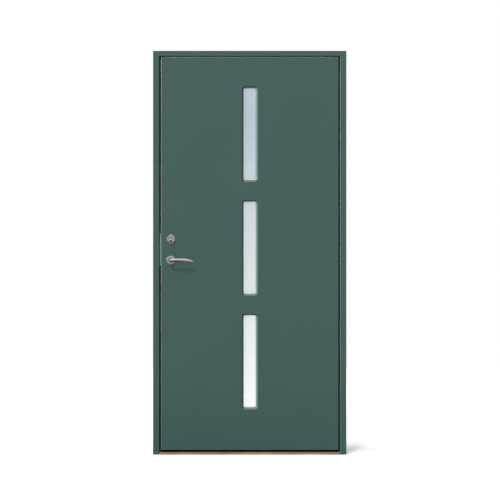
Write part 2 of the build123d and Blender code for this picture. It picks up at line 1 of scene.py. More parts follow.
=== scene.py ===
import json
import math
import bmesh
import bpy
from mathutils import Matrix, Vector


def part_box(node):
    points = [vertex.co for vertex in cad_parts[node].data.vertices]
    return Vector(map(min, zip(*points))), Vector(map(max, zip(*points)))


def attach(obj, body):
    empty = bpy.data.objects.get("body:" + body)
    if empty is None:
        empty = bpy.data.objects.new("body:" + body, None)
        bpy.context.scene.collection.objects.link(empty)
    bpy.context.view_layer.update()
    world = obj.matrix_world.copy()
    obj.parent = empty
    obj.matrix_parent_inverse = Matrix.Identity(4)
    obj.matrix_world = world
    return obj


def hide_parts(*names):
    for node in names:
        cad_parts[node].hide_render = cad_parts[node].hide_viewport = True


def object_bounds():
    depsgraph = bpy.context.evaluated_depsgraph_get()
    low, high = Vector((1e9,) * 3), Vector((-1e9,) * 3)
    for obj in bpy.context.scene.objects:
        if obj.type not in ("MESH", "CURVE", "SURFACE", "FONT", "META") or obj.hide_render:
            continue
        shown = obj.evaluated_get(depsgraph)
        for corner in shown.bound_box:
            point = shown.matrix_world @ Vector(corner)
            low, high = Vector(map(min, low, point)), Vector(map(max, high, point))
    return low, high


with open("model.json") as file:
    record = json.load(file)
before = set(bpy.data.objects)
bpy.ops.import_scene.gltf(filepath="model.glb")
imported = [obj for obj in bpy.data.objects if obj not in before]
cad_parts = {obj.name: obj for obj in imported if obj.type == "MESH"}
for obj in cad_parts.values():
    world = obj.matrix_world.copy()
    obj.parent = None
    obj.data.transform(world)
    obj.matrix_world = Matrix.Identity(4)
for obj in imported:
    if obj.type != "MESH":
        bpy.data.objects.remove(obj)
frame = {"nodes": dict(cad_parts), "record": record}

# The whole door stands at its real size, in metres: X to the right and Z up as seen
# from outside, Y into the house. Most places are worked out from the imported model's boxes.
cad_low, cad_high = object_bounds()

# Camera: it looks square on at the outer face from almost ten metres off, as a catalogue
# picture does, so that the sides of the frame stay upright and parallel.
face_low, face_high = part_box("outer_skin")
FACE_Y = face_low[1]
LENS = 135.0
SENSOR = 36.0
VIEW_WIDTH = 2.5745
VIEW_MIDDLE = (0.0016, 1.054)
camera_data = bpy.data.cameras.new("camera")
camera_data.lens = LENS
camera_data.sensor_width = SENSOR
camera_data.clip_end = 100.0
camera = bpy.data.objects.new("camera", camera_data)
camera.location = (VIEW_MIDDLE[0], FACE_Y - VIEW_WIDTH * LENS / SENSOR, VIEW_MIDDLE[1])
camera.rotation_euler = (math.radians(90), 0, 0)
bpy.context.collection.objects.link(camera)
bpy.context.scene.camera = camera
bpy.context.scene.view_settings.view_transform = "Standard"


# Painted timber: the head, the two jambs and both faces of the leaf are sprayed with one
# satin grey-green paint, whose film is smooth with a very fine ripple.
def new_material(name):
    """An empty node material, with its shader, a way to add nodes, and its object coordinates."""
    made = bpy.data.materials.new(name)
    made.use_nodes = True
    tree = made.node_tree
    tree.nodes.clear()
    output = tree.nodes.new("ShaderNodeOutputMaterial")
    shader = tree.nodes.new("ShaderNodeBsdfPrincipled")
    tree.links.new(shader.outputs[0], output.inputs[0])
    coordinates = tree.nodes.new("ShaderNodeTexCoord").outputs["Object"]
    return made, tree, shader, coordinates


def noise(tree, vector, scale, detail=2.0, stretch=(1, 1, 1)):
    """Noise of a given scale to the metre, drawn out along the axes where stretch is under 1."""
    mapping = tree.nodes.new("ShaderNodeMapping")
    mapping.inputs["Scale"].default_value = stretch
    tree.links.new(vector, mapping.inputs["Vector"])
    texture = tree.nodes.new("ShaderNodeTexNoise")
    texture.inputs["Scale"].default_value = scale
    texture.inputs["Detail"].default_value = detail
    tree.links.new(mapping.outputs[0], texture.inputs["Vector"])
    return texture.outputs["Fac"]


def ramp(tree, value, stops):
    """A colour ramp from (position, colour) pairs."""
    node = tree.nodes.new("ShaderNodeValToRGB")
    elements = node.color_ramp.elements
    while len(elements) < len(stops):
        elements.new(0.5)
    for element, (position, colour) in zip(elements, stops):
        element.position = position
        element.color = (*colour, 1)
    tree.links.new(value, node.inputs[0])
    return node.outputs[0]


def spread(tree, value, low, high):
    """A value from 0 to 1, taken to a range."""
    node = tree.nodes.new("ShaderNodeMapRange")
    node.inputs["To Min"].default_value = low
    node.inputs["To Max"].default_value = high
    tree.links.new(value, node.inputs["Value"])
    return node.outputs[0]


def bump(tree, height, shader, strength, distance):
    node = tree.nodes.new("ShaderNodeBump")
    node.inputs["Strength"].default_value = strength
    node.inputs["Distance"].default_value = distance
    tree.links.new(height, node.inputs["Height"])
    tree.links.new(node.outputs[0], shader.inputs["Normal"])


def tinted(colour, share):
    return tuple(channel * share for channel in colour)


def paint(name, colour, roughness, varnish=0.5, shine=0.5):
    """Satin paint: hardly any change of tone, and a ripple a millimetre or two across.

    The varnish is the share of clear coat, the shine the strength of its mirror image.
    """
    made, tree, shader, coordinates = new_material(name)
    cloudy = noise(tree, coordinates, 2.6, 3.0)
    tone = ramp(tree, cloudy, [(0.3, tinted(colour, 0.975)), (0.7, tinted(colour, 1.025))])
    tree.links.new(tone, shader.inputs["Base Color"])
    streaks = noise(tree, coordinates, 40.0, 4.0)
    rough = spread(tree, streaks, roughness - 0.03, roughness + 0.03)
    tree.links.new(rough, shader.inputs["Roughness"])
    shader.inputs["Specular IOR Level"].default_value = shine
    shader.inputs["Coat Weight"].default_value = varnish
    shader.inputs["Coat Roughness"].default_value = 0.23
    bump(tree, noise(tree, coordinates, 620.0, 3.0), shader, 0.10, 0.0002)
    return made


GREEN = (0.034, 0.0785, 0.07)
SMOOTH_UNDER = math.radians(35)
SEAM, SLIVER = 2e-6, 1e-6
door_paint = paint("door_paint", GREEN, 0.36)


def soften(form):
    """Smooth curves, with a crease where two faces meet at a sharp angle or a face ends."""
    for face in form.faces:
        face.smooth = True
    for edge in form.edges:
        edge.smooth = len(edge.link_faces) == 2 and edge.calc_face_angle(3.0) < SMOOTH_UNDER


MM = 0.001
FRAME_ARRIS = 2.0 * MM
body_of_node = {
    node: body
    for body, nodes in frame["record"]["behaviour"]["bodies"].items()
    for node in nodes
}


def finished(node, material, arris=0.0, segments=2):
    """A copy of a node's mesh with its seams closed, rounded arrises and smooth curves."""
    source = frame["nodes"][node]
    mesh = source.data.copy()
    mesh.materials.clear()
    mesh.materials.append(material)
    form = bmesh.new()
    form.from_mesh(mesh)
    bmesh.ops.remove_doubles(form, verts=form.verts, dist=SEAM)
    bmesh.ops.dissolve_degenerate(form, edges=form.edges, dist=SLIVER)
    for face in form.faces:
        face.material_index = 0
    soften(form)
    form.to_mesh(mesh)
    form.free()
    piece = bpy.data.objects.new(f"{node}_finished", mesh)
    bpy.context.collection.objects.link(piece)
    if arris:
        rounding = piece.modifiers.new("arris", "BEVEL")
        rounding.width = arris
        rounding.segments = segments
        rounding.limit_method = "ANGLE"
        rounding.angle_limit = SMOOTH_UNDER
        piece.modifiers.new("triangles", "TRIANGULATE")
    flats = piece.modifiers.new("flats", "WEIGHTED_NORMAL")
    flats.keep_sharp = True
    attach(piece, body_of_node[node])
    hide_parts(node)
    return piece


def dress(node, material):
    """The material alone, on a node whose mesh shows as it is."""
    shown = frame["nodes"][node]
    shown.data.materials.clear()
    shown.data.materials.append(material)


for timber in ("head", "jamb_lock_side", "jamb_hinge_side"):
    finished(timber, door_paint, FRAME_ARRIS, 3)
finished("outer_skin", door_paint)
# The face towards the room has the same colour in a flatter paint.
finished("inner_skin", paint("room_side_paint", GREEN, 0.6, 0.0, 0.2))


# Edges of the leaf: the stiles and rails between the two faces are primed timber. They are
# glued into a frame and have a thinner coat, so that the grain shows a little.
def edge_paint():
    made, tree, shader, coordinates = new_material("leaf_edge_paint")
    grain = noise(tree, coordinates, 90.0, 5.0, (1.0, 1.0, 0.03))
    tone = ramp(tree, grain, [(0.3, tinted(GREEN, 0.72)), (0.7, tinted(GREEN, 1.0))])
    tree.links.new(tone, shader.inputs["Base Color"])
    shader.inputs["Roughness"].default_value = 0.5
    bump(tree, grain, shader, 0.25, 0.0004)
    return made


edge_finish = edge_paint()
for timber in ("stile_lock_side", "stile_hinge_side", "rail_top", "rail_bottom"):
    dress(timber, edge_finish)


# Insulation: a block of pale rigid foam that is glued between the two faces and fills the
# leaf between its timbers, cut through at each window. Its cells are a few millimetres wide.
def foam():
    made, tree, shader, coordinates = new_material("insulation_foam")
    cells = tree.nodes.new("ShaderNodeTexVoronoi")
    cells.inputs["Scale"].default_value = 300.0
    tree.links.new(coordinates, cells.inputs["Vector"])
    # The middle of each cell is a hollow in the bump and is painted darker there, a painted shade
    # in the hollows.
    cell_height_and_hollow_shade = cells.outputs["Distance"]
    tone = ramp(tree, cell_height_and_hollow_shade, [(0.0, (0.62, 0.6, 0.55)), (0.8, (0.84, 0.83, 0.79))])
    tree.links.new(tone, shader.inputs["Base Color"])
    shader.inputs["Roughness"].default_value = 0.9
    bump(tree, cell_height_and_hollow_shade, shader, 0.5, 0.001)
    return made


dress("insulation_core", foam())


# Threshold: one piece of oiled oak between the jambs. The grain runs along it, with darker
# pores and a few broad bands from the growth rings.
def oak():
    made, tree, shader, coordinates = new_material("oiled_oak")
    bands = noise(tree, coordinates, 34.0, 3.0, (0.12, 1.0, 1.0))
    pores = noise(tree, coordinates, 800.0, 4.0, (0.02, 1.0, 1.0))
    wood = ramp(
        tree,
        bands,
        [(0.25, (0.18, 0.1, 0.047)), (0.5, (0.27, 0.17, 0.09)), (0.75, (0.35, 0.245, 0.15))],
    )
    dark = ramp(tree, pores, [(0.36, (0.42, 0.36, 0.32)), (0.5, (1, 1, 1))])
    mix = tree.nodes.new("ShaderNodeMix")
    mix.data_type = "RGBA"
    mix.blend_type = "MULTIPLY"
    mix.inputs["Factor"].default_value = 0.8
    tree.links.new(wood, mix.inputs[6])
    tree.links.new(dark, mix.inputs[7])
    tree.links.new(mix.outputs[2], shader.inputs["Base Color"])
    shader.inputs["Roughness"].default_value = 0.45
    bump(tree, pores, shader, 0.3, 0.0004)
    return made


# The nose stands a little lower than the model's, so that the dark joint under the leaf is
# as tall as it looks from outside. It still lies inside the model's own box.
SILL_ARRIS, NOSE_DEPTH, NOSE_LOWER = 0.6 * MM, 2.0 * MM, 4.5 * MM
sill = finished("threshold", oak(), SILL_ARRIS)
for vertex in sill.data.vertices:
    if vertex.co.y < FACE_Y + NOSE_DEPTH and vertex.co.z > NOSE_LOWER:
        vertex.co.z -= NOSE_LOWER


# Seals: extruded black rubber, a lip that the leaf closes on and a barb pressed into a
# groove of the rebate.
def rubber():
    made, tree, shader, coordinates = new_material("seal_rubber")
    dust = noise(tree, coordinates, 60.0, 4.0)
    tone = ramp(tree, dust, [(0.3, (0.012, 0.012, 0.013)), (0.8, (0.028, 0.028, 0.03))])
    tree.links.new(tone, shader.inputs["Base Color"])
    shader.inputs["Roughness"].default_value = 0.6
    bump(tree, noise(tree, coordinates, 900.0), shader, 0.15, 0.0002)
    return made


SEAL_ARRIS = 0.4 * MM
seal_rubber = rubber()
for seal in ("frame_seal", "threshold_seal"):
    finished(seal, seal_rubber, SEAL_ARRIS)


# Steel fittings: the strike plate and the forend are cut from stainless sheet, brushed
# along their length and screwed on. What hides behind them in the wood is zinc plated.
def brushed(name, colour, roughness, along=(1.0, 1.0, 0.04)):
    """Stainless steel brushed one way, the way in which the stretch is small."""
    made, tree, shader, coordinates = new_material(name)
    lines = noise(tree, coordinates, 2600.0, 2.0, along)
    tone = ramp(tree, lines, [(0.3, tinted(colour, 0.9)), (0.7, tinted(colour, 1.08))])
    tree.links.new(tone, shader.inputs["Base Color"])
    rough = spread(tree, lines, roughness - 0.05, roughness + 0.07)
    tree.links.new(rough, shader.inputs["Roughness"])
    shader.inputs["Metallic"].default_value = 1.0
    bump(tree, lines, shader, 0.06, 0.0001)
    return made


PLATE_ARRIS = 0.3 * MM
EVEN = (1.0, 1.0, 1.0)
plate_steel = brushed("plate_steel", (0.46, 0.46, 0.45), 0.3)
for plate in ("strike_plate", "forend"):
    finished(plate, plate_steel, PLATE_ARRIS)
zinc = brushed("zinc_plate", (0.42, 0.42, 0.4), 0.38, EVEN)
for fitting in ("frame_sleeves", "lock_case", "rosette_bolts", "follower"):
    dress(fitting, zinc)


# Hinges: a folded steel cup with a turned pin stands in the jamb, and a bent arm swings
# out of it. All three pairs are coated black, so that the gap beside the leaf stays dark.
def black_coat():
    made, tree, shader, coordinates = new_material("black_coat")
    wear = noise(tree, coordinates, 300.0, 4.0)
    tone = ramp(tree, wear, [(0.3, (0.014, 0.016, 0.016)), (0.75, (0.03, 0.033, 0.033))])
    tree.links.new(tone, shader.inputs["Base Color"])
    tree.links.new(spread(tree, wear, 0.4, 0.55), shader.inputs["Roughness"])
    shader.inputs["Specular IOR Level"].default_value = 0.3
    return made


PLACES = ("top", "middle", "bottom")
hinge_coat = black_coat()
for place in PLACES:
    finished(f"hinge_cup_{place}", hinge_coat, PLATE_ARRIS)
    finished(f"hinge_arm_{place}", hinge_coat, PLATE_ARRIS)
pin_steel = brushed("pin_steel", (0.55, 0.55, 0.54), 0.16, (1.0, 1.0, 0.2))
for bright in ("hinge_pins", "spindle"):
    dress(bright, pin_steel)

# Screws: every plate is held by countersunk screws with a crossed slot, and the corners
# of the frame by longer ones. A screw is made for each group and set at every hole.
SCREW_HEAD, SCREW_SHANK, SCREW_SIDES = 4.4 * MM, 2.2 * MM, 20
RIM_SHARE, RIM_HEIGHT = 0.93, 0.3 * MM
PLAIN_LENGTH, THREAD_STEP, THREAD_HEIGHT = 4 * MM, 1.8 * MM, 0.5 * MM
TIP_SHARE, TIP_LENGTH = 0.7, 1 * MM
RECESS_REACH, RECESS_WIDTH, RECESS_DEPTH, RECESS_TAPER = 2.5 * MM, 0.9 * MM, 1.6 * MM, 0.45
CLEAR_ABOVE = 0.5 * MM


def turned_screw(length, head, shank):
    """A screw along -Z from its head at the origin, with ridges for its thread."""
    neck = -(head - shank)
    outline = [(0.0, 0.0), (head * RIM_SHARE, 0.0), (head, -RIM_HEIGHT), (shank, neck)]
    depth = neck - PLAIN_LENGTH
    while depth > -length + THREAD_STEP:
        outline += [(shank - THREAD_HEIGHT, depth), (shank, depth - THREAD_STEP / 2)]
        depth -= THREAD_STEP
    outline += [(shank * TIP_SHARE, -length + TIP_LENGTH), (0.0, -length)]
    form = bmesh.new()
    rings = []
    for radius, height in outline:
        ring = []
        for side in range(SCREW_SIDES if radius else 1):
            angle = 2 * math.pi * side / SCREW_SIDES
            x, y = radius * math.cos(angle), radius * math.sin(angle)
            ring.append(form.verts.new((x, y, height)))
        rings.append(ring)
    for upper, lower in zip(rings, rings[1:]):
        for side in range(SCREW_SIDES):
            after = (side + 1) % SCREW_SIDES
            corners = [upper[side % len(upper)], lower[side % len(lower)]]
            if len(lower) > 1:
                corners.append(lower[after])
            if len(upper) > 1:
                corners.append(upper[after])
            form.faces.new(corners)
    bmesh.ops.recalc_face_normals(form, faces=form.faces)
    mesh = bpy.data.meshes.new("screw")
    form.to_mesh(mesh)
    form.free()
    return mesh


def cross_cutter():
    """Two crossed bars that taper inwards, to cut the slot of a screw."""
    form = bmesh.new()
    for long_axis in (0, 1):
        sizes = [RECESS_WIDTH, RECESS_WIDTH]
        sizes[long_axis] = 2 * RECESS_REACH
        for vertex in bmesh.ops.create_cube(form, size=1.0)["verts"]:
            deep = vertex.co.z < 0
            shrink = RECESS_TAPER if deep else 1.0
            vertex.co.x *= sizes[0] * shrink
            vertex.co.y *= sizes[1] * shrink
            vertex.co.z = -RECESS_DEPTH if deep else CLEAR_ABOVE
    mesh = bpy.data.meshes.new("cross")
    form.to_mesh(mesh)
    form.free()
    return mesh


def crossed_screw(length, head=SCREW_HEAD, shank=SCREW_SHANK):
    """One screw with its slot cut, as a plain mesh."""
    blank = bpy.data.objects.new("screw_blank", turned_screw(length, head, shank))
    cutter = bpy.data.objects.new("screw_cutter", cross_cutter())
    for piece in (blank, cutter):
        bpy.context.collection.objects.link(piece)
    cut = blank.modifiers.new("slot", "BOOLEAN")
    cut.operation = "DIFFERENCE"
    cut.solver = "EXACT"
    cut.use_self = True
    cut.object = cutter
    graph = bpy.context.evaluated_depsgraph_get()
    mesh = bpy.data.meshes.new_from_object(blank.evaluated_get(graph))
    for piece in (blank, cutter):
        bpy.data.objects.remove(piece)
    return mesh


def placing_tree(name):
    """Geometry Nodes: an object at every point, turned to the point's own direction."""
    tree = bpy.data.node_groups.new(name, "GeometryNodeTree")
    tree.interface.new_socket("Places", in_out="INPUT", socket_type="NodeSocketGeometry")
    tree.interface.new_socket("Piece", in_out="INPUT", socket_type="NodeSocketObject")
    tree.interface.new_socket("Finish", in_out="INPUT", socket_type="NodeSocketMaterial")
    tree.interface.new_socket("Placed", in_out="OUTPUT", socket_type="NodeSocketGeometry")
    inside = tree.nodes.new("NodeGroupInput")
    outside = tree.nodes.new("NodeGroupOutput")
    info = tree.nodes.new("GeometryNodeObjectInfo")
    way = tree.nodes.new("GeometryNodeInputNamedAttribute")
    way.data_type = "FLOAT_VECTOR"
    way.inputs["Name"].default_value = "way"
    turn = tree.nodes.new("FunctionNodeAlignRotationToVector")
    turn.axis = "Z"
    spin = tree.nodes.new("FunctionNodeRotateRotation")
    spin.rotation_space = "LOCAL"
    chance = tree.nodes.new("FunctionNodeRandomValue")
    chance.data_type = "FLOAT_VECTOR"
    chance.inputs[0].default_value = (0, 0, 0)
    chance.inputs[1].default_value = (0, 0, math.pi)
    chance.inputs["Seed"].default_value = 7
    placed = tree.nodes.new("GeometryNodeInstanceOnPoints")
    realized = tree.nodes.new("GeometryNodeRealizeInstances")
    finish = tree.nodes.new("GeometryNodeSetMaterial")
    link = tree.links.new
    link(inside.outputs["Places"], placed.inputs["Points"])
    link(inside.outputs["Piece"], info.inputs["Object"])
    link(info.outputs["Geometry"], placed.inputs["Instance"])
    link(way.outputs["Attribute"], turn.inputs["Vector"])
    link(turn.outputs[0], spin.inputs[0])
    link(chance.outputs[0], spin.inputs[1])
    link(spin.outputs[0], placed.inputs["Rotation"])
    link(placed.outputs[0], realized.inputs[0])
    link(realized.outputs[0], finish.inputs["Geometry"])
    link(inside.outputs["Finish"], finish.inputs["Material"])
    link(finish.outputs[0], outside.inputs["Placed"])
    return tree


screw_places = placing_tree("screw_places")


def place_all(name, mesh, places, material):
    """Copies of a mesh at (point, direction) pairs, as one object whose place is in its mesh."""
    points = bpy.data.meshes.new(name)
    points.from_pydata([point for point, _ in places], [], [])
    ways = points.attributes.new("way", "FLOAT_VECTOR", "POINT")
    for value, (_, way) in zip(ways.data, places):
        value.vector = way
    source = bpy.data.objects.new(f"{name}_source", mesh)
    holder = bpy.data.objects.new(f"{name}_points", points)
    for item in (source, holder):
        bpy.context.collection.objects.link(item)
    placing = holder.modifiers.new("places", "NODES")
    placing.node_group = screw_places
    listed = screw_places.interface.items_tree
    sockets = {socket.name: socket.identifier for socket in listed if socket.in_out == "INPUT"}
    placing[sockets["Piece"]] = source
    placing[sockets["Finish"]] = material
    graph = bpy.context.evaluated_depsgraph_get()
    made = bpy.data.meshes.new_from_object(holder.evaluated_get(graph))
    for item in (source, holder):
        bpy.data.objects.remove(item)
    piece = bpy.data.objects.new(name, made)
    bpy.context.collection.objects.link(piece)
    return piece


def middle(node):
    low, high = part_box(node)
    return [(a + b) / 2 for a, b in zip(low, high)]


screw_steel = brushed("screw_steel", (0.5, 0.5, 0.49), 0.26, EVEN)
PLATE_SCREW = 28 * MM
CUP_SCREW_DEPTHS, CUP_SCREW_RISE = (14 * MM, 34 * MM), 57 * MM
STRIKE_SCREW_INSET, STRIKE_MIDDLE_SCREW = 12 * MM, 1055.5 * MM
jamb_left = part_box("strike_plate")[1][0]
jamb_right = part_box("hinge_cup_top")[0][0]
lock_depth = middle("forend")[1]
frame_screws = []
for place in PLACES:
    height = middle(f"hinge_cup_{place}")[2]
    for depth in CUP_SCREW_DEPTHS:
        for rise in (-CUP_SCREW_RISE, CUP_SCREW_RISE):
            frame_screws.append(((jamb_right, FACE_Y + depth, height + rise), (-1, 0, 0)))
strike_low, strike_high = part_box("strike_plate")
strike_heights = (
    strike_low[2] + STRIKE_SCREW_INSET,
    STRIKE_MIDDLE_SCREW,
    strike_high[2] - STRIKE_SCREW_INSET,
)
for height in strike_heights:
    frame_screws.append(((jamb_left, lock_depth, height), (1, 0, 0)))
screws = place_all(
    "frame_plate_screws_crossed", crossed_screw(PLATE_SCREW), frame_screws, screw_steel
)
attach(screws, "frame")
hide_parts("frame_plate_screws")

ARM_SCREW_DEPTHS, ARM_SCREW_RISE = (16 * MM, 46 * MM), 50 * MM
FOREND_SCREW_INSET = 5 * MM
GUARD_SCREW_INSET, GUARD_SCREW_DEPTH = 15 * MM, 10.5 * MM
leaf_left, leaf_right = face_low[0], face_high[0]
leaf_screws = []
for place in PLACES:
    height = middle(f"hinge_arm_{place}")[2]
    for depth in ARM_SCREW_DEPTHS:
        for rise in (-ARM_SCREW_RISE, ARM_SCREW_RISE):
            leaf_screws.append(((leaf_right, FACE_Y + depth, height + rise), (1, 0, 0)))
forend_low, forend_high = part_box("forend")
for height in (forend_low[2] + FOREND_SCREW_INSET, forend_high[2] - FOREND_SCREW_INSET):
    leaf_screws.append(((leaf_left, lock_depth, height), (-1, 0, 0)))
guard_low, guard_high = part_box("latch_guard")
for height in (guard_low[2] + GUARD_SCREW_INSET, guard_high[2] - GUARD_SCREW_INSET):
    leaf_screws.append(((guard_low[0], FACE_Y + GUARD_SCREW_DEPTH, height), (-1, 0, 0)))
screws = place_all(
    "leaf_plate_screws_crossed", crossed_screw(PLATE_SCREW), leaf_screws, screw_steel
)
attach(screws, "leaf")
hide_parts("leaf_plate_screws")

JOINT_SCREW, JOINT_HEAD, JOINT_SHANK = 90 * MM, 5 * MM, 2.5 * MM
JAMB_MIDDLE = 16.5 * MM
HEAD_SCREW_DEPTHS = (22 * MM, 92 * MM)
SILL_SCREW_PLACES = ((24 * MM, 8 * MM), (92 * MM, 18 * MM))
joint_screws = []
for side, edge in ((-1, cad_low[0]), (1, cad_high[0])):
    for depth in HEAD_SCREW_DEPTHS:
        place = (edge - side * JAMB_MIDDLE, FACE_Y + depth, cad_high[2])
        joint_screws.append((place, (0, 0, 1)))
    for depth, height in SILL_SCREW_PLACES:
        joint_screws.append(((edge, FACE_Y + depth, height), (side, 0, 0)))
screws = place_all(
    "frame_joint_screws_crossed",
    crossed_screw(JOINT_SCREW, JOINT_HEAD, JOINT_SHANK),
    joint_screws,
    screw_steel,
)
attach(screws, "frame")
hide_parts("frame_joint_screws")

# Latch guard: a strip of painted steel on the leaf's edge in front of the two bolts. Its coat is
# painted lighter and greyer than the leaf's paint, a painted highlight along its lit edge.
GUARD_ARRIS = 1.2 * MM
guard_highlight_coat = paint("guard_coat_painted_highlight", (0.1, 0.14, 0.135), 0.3)
finished("latch_guard", guard_highlight_coat, GUARD_ARRIS, 3)

# Bolts: the latch and the deadbolt are sawn from steel bar and nickelled, with fine
# scratches along the way in which they slide through the forend.
BOLT_ARRIS = 0.4 * MM
bolt_steel = brushed("bolt_steel", (0.58, 0.56, 0.52), 0.2, (0.05, 1.0, 1.0))
for bolt in ("latch_bolt", "deadbolt"):
    finished(bolt, bolt_steel, BOLT_ARRIS)

# Window mouldings: a ring in each slot, on both faces of the leaf, which slopes from the
# face down to the glass. They are sprayed in the leaf's colour, a little flatter.
moulding_paint = paint("moulding_paint", GREEN, 0.5, 0.0, 0.4)
CORNER_STEPS = 8
# Half width, half height, corner, depth from the face and rise of each line round the ring.
MOULDING = (
    (42.0, 247.0, 12.0, 2.0, 0.0),
    (42.0, 247.0, 12.0, 0.0, 0.0),
    (41.2, 246.2, 17.0, 0.0, 0.0),
    (40.8, 245.8, 16.6, 0.15, 0.0),
    (32.2, 238.45, 8.0, 7.8, 1.75),
    (32.0, 238.25, 7.8, 8.0, 1.75),
    (52.0, 257.0, 2.0, 8.0, 0.0),
    (52.0, 257.0, 2.0, 2.0, 0.0),
)


def rounded_line(form, half_wide, half_tall, corner, x, y, z):
    """Points round a rectangle with round corners, in the plane of the leaf."""
    line = []
    for quarter, (right, up) in enumerate(((1, 1), (-1, 1), (-1, -1), (1, -1))):
        for step in range(CORNER_STEPS + 1):
            angle = math.pi / 2 * (quarter + step / CORNER_STEPS)
            across = right * (half_wide - corner) + corner * math.cos(angle)
            along = up * (half_tall - corner) + corner * math.sin(angle)
            line.append(form.verts.new((x + across * MM, y, z + along * MM)))
    return line


def join_lines(form, lines):
    """Faces between each closed line of points and the next, and back to the first."""
    for line, after in zip(lines, lines[1:] + lines[:1]):
        for step in range(len(line)):
            beside = (step + 1) % len(line)
            form.faces.new((line[step], line[beside], after[beside], after[step]))
    bmesh.ops.recalc_face_normals(form, faces=form.faces)
    soften(form)


def as_piece(name, form, material):
    mesh = bpy.data.meshes.new(name)
    form.to_mesh(mesh)
    form.free()
    mesh.materials.append(material)
    piece = bpy.data.objects.new(name, mesh)
    bpy.context.collection.objects.link(piece)
    return piece


for place in PLACES:
    for side in ("outer", "inner"):
        node = f"{side}_moulding_{place}"
        low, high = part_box(node)
        form = bmesh.new()
        lines = []
        for half_wide, half_tall, corner, depth, rise in MOULDING:
            y = low[1] + depth * MM if side == "outer" else high[1] - depth * MM
            z = (low[2] + high[2]) / 2 + rise * MM
            lines.append(rounded_line(form, half_wide, half_tall, corner, 0.0, y, z))
        join_lines(form, lines)
        surround = as_piece(f"{node}_rounded", form, moulding_paint)
        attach(surround, "leaf")
        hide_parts(node)


# Panes: three to a window, the outer one satin-etched, so that it glows with the daylight behind
# it. Its tint is a painted reflection of the sky: near white at the foot of the lowest pane, a
# cool grey towards the top of the door, and lightened again at the very top, where the moulding
# shades it.
def glass(name, stops, roughness, through):
    """Glass whose tint goes by height, from the foot of the lowest pane to the highest; on the
    etched pane this tint is a painted sky reflection.
    """
    made, tree, shader, coordinates = new_material(name)
    height = tree.nodes.new("ShaderNodeSeparateXYZ")
    tree.links.new(coordinates, height.inputs[0])
    share = tree.nodes.new("ShaderNodeMapRange")
    share.inputs["From Min"].default_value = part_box("outer_pane_bottom")[0][2]
    share.inputs["From Max"].default_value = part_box("outer_pane_top")[1][2]
    tree.links.new(height.outputs["Z"], share.inputs["Value"])
    tree.links.new(ramp(tree, share.outputs[0], stops), shader.inputs["Base Color"])
    shader.inputs["Roughness"].default_value = roughness
    shader.inputs["Transmission Weight"].default_value = through
    shader.inputs["IOR"].default_value = 1.5
    bump(tree, noise(tree, coordinates, 1500.0), shader, 0.05, 0.0001)
    return made


CLEAR_TINT = (0.97, 0.985, 0.98)
etched = glass(
    "etched_glass_painted_sky",
    [
        (0.0, (0.96, 0.975, 0.98)),
        (0.35, (0.86, 0.9, 0.915)),
        (0.65, (0.72, 0.79, 0.83)),
        (0.9, (0.57, 0.66, 0.735)),
        (1.0, (0.62, 0.71, 0.79)),
    ],
    0.3,
    0.85,
)
clear = glass("clear_glass", [(0.0, CLEAR_TINT), (1.0, CLEAR_TINT)], 0.0, 1.0)
for place in PLACES:
    dress(f"outer_pane_{place}", etched)
    dress(f"middle_pane_{place}", clear)
    dress(f"inner_pane_{place}", clear)


# Spacers: two frames of drawn aluminium section hold the three panes of each window apart.
# They are glued to the panes all round, out of sight behind the mouldings.
def spacer_metal():
    made, tree, shader, coordinates = new_material("spacer_aluminium")
    grain = noise(tree, coordinates, 1200.0)
    tone = ramp(tree, grain, [(0.3, (0.42, 0.43, 0.44)), (0.7, (0.52, 0.53, 0.54))])
    tree.links.new(tone, shader.inputs["Base Color"])
    shader.inputs["Metallic"].default_value = 1.0
    shader.inputs["Roughness"].default_value = 0.42
    return made


spacer_aluminium = spacer_metal()
for place in PLACES:
    dress(f"spacers_{place}", spacer_aluminium)

# Handle: levers cast in stainless steel and polished to a satin. The neck comes straight
# out of the rosette, turns along the door, and flattens into a grip with a high crest.
HANDLE_X, HANDLE_Z = -406.0, 1001.0
NECK_RADIUS, NECK_STATIONS = 10.0, (1.0, 1.2, 14.0, 27.0)
CREST, CREST_FROM, CREST_CLIMB = 0.4, 2.0, 26.0
LEVER_SIDES, PATH_STEPS = 48, 8
LEVER_PATH = (
    # reach, stand-off, turn in degrees, top edge, bottom edge, half thickness
    (0.0, 28.0, 0, 10.0, -10.0, 10.0),
    (0.8, 38.0, 12, 9.7, -9.7, 9.4),
    (4.5, 46.0, 40, 9.4, -9.2, 8.6),
    (11.5, 51.0, 68, 8.8, -8.4, 7.6),
    (22.0, 53.0, 88, 8.3, -7.7, 6.6),
    (43.0, 53.2, 90, 8.2, -7.7, 6.0),
    (62.0, 53.0, 91, 8.2, -10.4, 5.8),
    (80.0, 52.4, 92, 8.0, -13.8, 5.6),
    (95.0, 51.6, 94, 4.8, -14.2, 5.2),
    (107.0, 50.6, 95, 0.6, -13.2, 4.4),
    (114.5, 49.9, 96, -2.6, -11.0, 3.2),
    (118.0, 49.6, 96, -4.6, -8.2, 1.4),
    (118.9, 49.5, 96, -6.0, -6.6, 0.3),
)
DOOR_MIDDLE_Y = (FACE_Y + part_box("inner_skin")[1][1]) / 2


def between(before, here, after, beyond, share):
    """A smooth step from one row of numbers to the next, with its neighbours' help."""
    row = []
    for a, b, c, d in zip(before, here, after, beyond):
        bend = (2 * a - 5 * b + 4 * c - d) * share**2 + (3 * b - a - 3 * c + d) * share**3
        row.append(b + 0.5 * ((c - a) * share + bend))
    return row


def smooth_rows(rows, steps):
    """The rows with more between them, on a curve that goes through each."""
    result = []
    for index in range(len(rows) - 1):
        before = rows[max(index - 1, 0)]
        beyond = rows[min(index + 2, len(rows) - 1)]
        for step in range(steps):
            result.append(between(before, rows[index], rows[index + 1], beyond, step / steps))
    result.append(list(rows[-1]))
    return result


